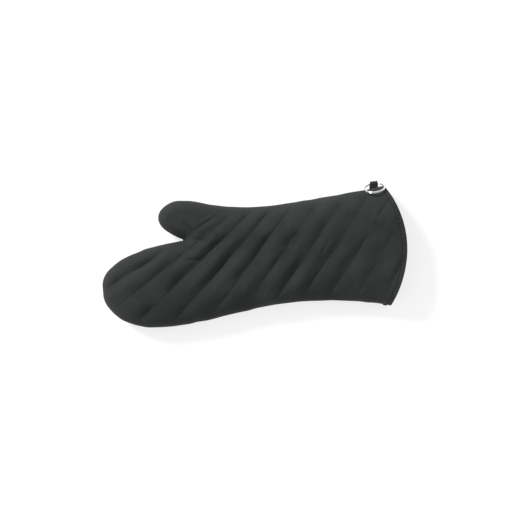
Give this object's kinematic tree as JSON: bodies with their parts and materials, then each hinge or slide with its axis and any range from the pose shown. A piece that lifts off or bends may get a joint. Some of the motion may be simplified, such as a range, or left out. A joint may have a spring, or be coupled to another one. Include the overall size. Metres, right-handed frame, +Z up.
{
  "type": "oven mitt",
  "caption": "Long quilted oven mitt with a thumb, a flared hemmed cuff, a tape hanging loop and a split key ring.",
  "frame": {"origin": "on the table, under the middle of the mitt's length and width", "axes": "+X from the fingertips to the open cuff, +Y towards the thumb side, +Z up out of the palm face; the mitt lies on its back face"},
  "size_m": [0.4319, 0.1818, 0.0472],
  "materials": {
    "outer_cloth": "dark charcoal quilted twill",
    "lining_cloth": "plain dark lining",
    "batting": "off-white needled felt",
    "thread": "black polyester thread",
    "tape": "black woven tape",
    "ring_steel": "bright nickel-plated steel"
  },
  "bodies": {
    "mitt": {"palm_outer_cloth": "outer_cloth", "palm_batting": "batting", "palm_lining": "lining_cloth", "back_outer_cloth": "outer_cloth", "back_batting": "batting", "back_lining": "lining_cloth", "cuff_hem_palm": "outer_cloth", "cuff_hem_back": "outer_cloth", "hem_thread_palm": "thread", "hem_thread_back": "thread", "side_seam_thread": "thread", "palm_quilt_thread": "thread", "back_quilt_thread": "thread", "loop_bar_tack": "thread"},
    "fingers": {"finger_palm_outer_cloth": "outer_cloth", "finger_palm_batting": "batting", "finger_palm_lining": "lining_cloth", "finger_back_outer_cloth": "outer_cloth", "finger_back_batting": "batting", "finger_back_lining": "lining_cloth", "finger_seam_thread": "thread", "finger_palm_quilt_thread": "thread", "finger_back_quilt_thread": "thread"},
    "thumb": {"thumb_palm_outer_cloth": "outer_cloth", "thumb_palm_batting": "batting", "thumb_palm_lining": "lining_cloth", "thumb_back_outer_cloth": "outer_cloth", "thumb_back_batting": "batting", "thumb_back_lining": "lining_cloth", "thumb_seam_thread": "thread"},
    "hang_loop": {"hang_loop_tape": "tape"},
    "key_ring": {"split_ring": "ring_steel"}
  },
  "joints": [
    {"name": "fingers_curl", "type": "hinge", "parent": "mitt", "child": "fingers", "pos_m": [-0.125, -0.0245, 0.0475], "axis": [0, 1, 0], "range_deg": [0, 75]},
    {"name": "thumb_flex", "type": "hinge", "parent": "mitt", "child": "thumb", "pos_m": [-0.07432, 0.05914, 0.0475], "axis": [0.6561, 0.7547, 0], "range_deg": [0, 60]},
    {"name": "loop_flap", "type": "hinge", "parent": "mitt", "child": "hang_loop", "pos_m": [0.1805, 0.0769, 0.017], "axis": [-1, 0, 0], "range_deg": [0, 15]},
    {"name": "ring_swing", "type": "hinge", "parent": "hang_loop", "child": "key_ring", "pos_m": [0.1805, 0.0829, 0.017], "axis": [-1, 0, 0], "range_deg": [0, 140]}
  ]
}
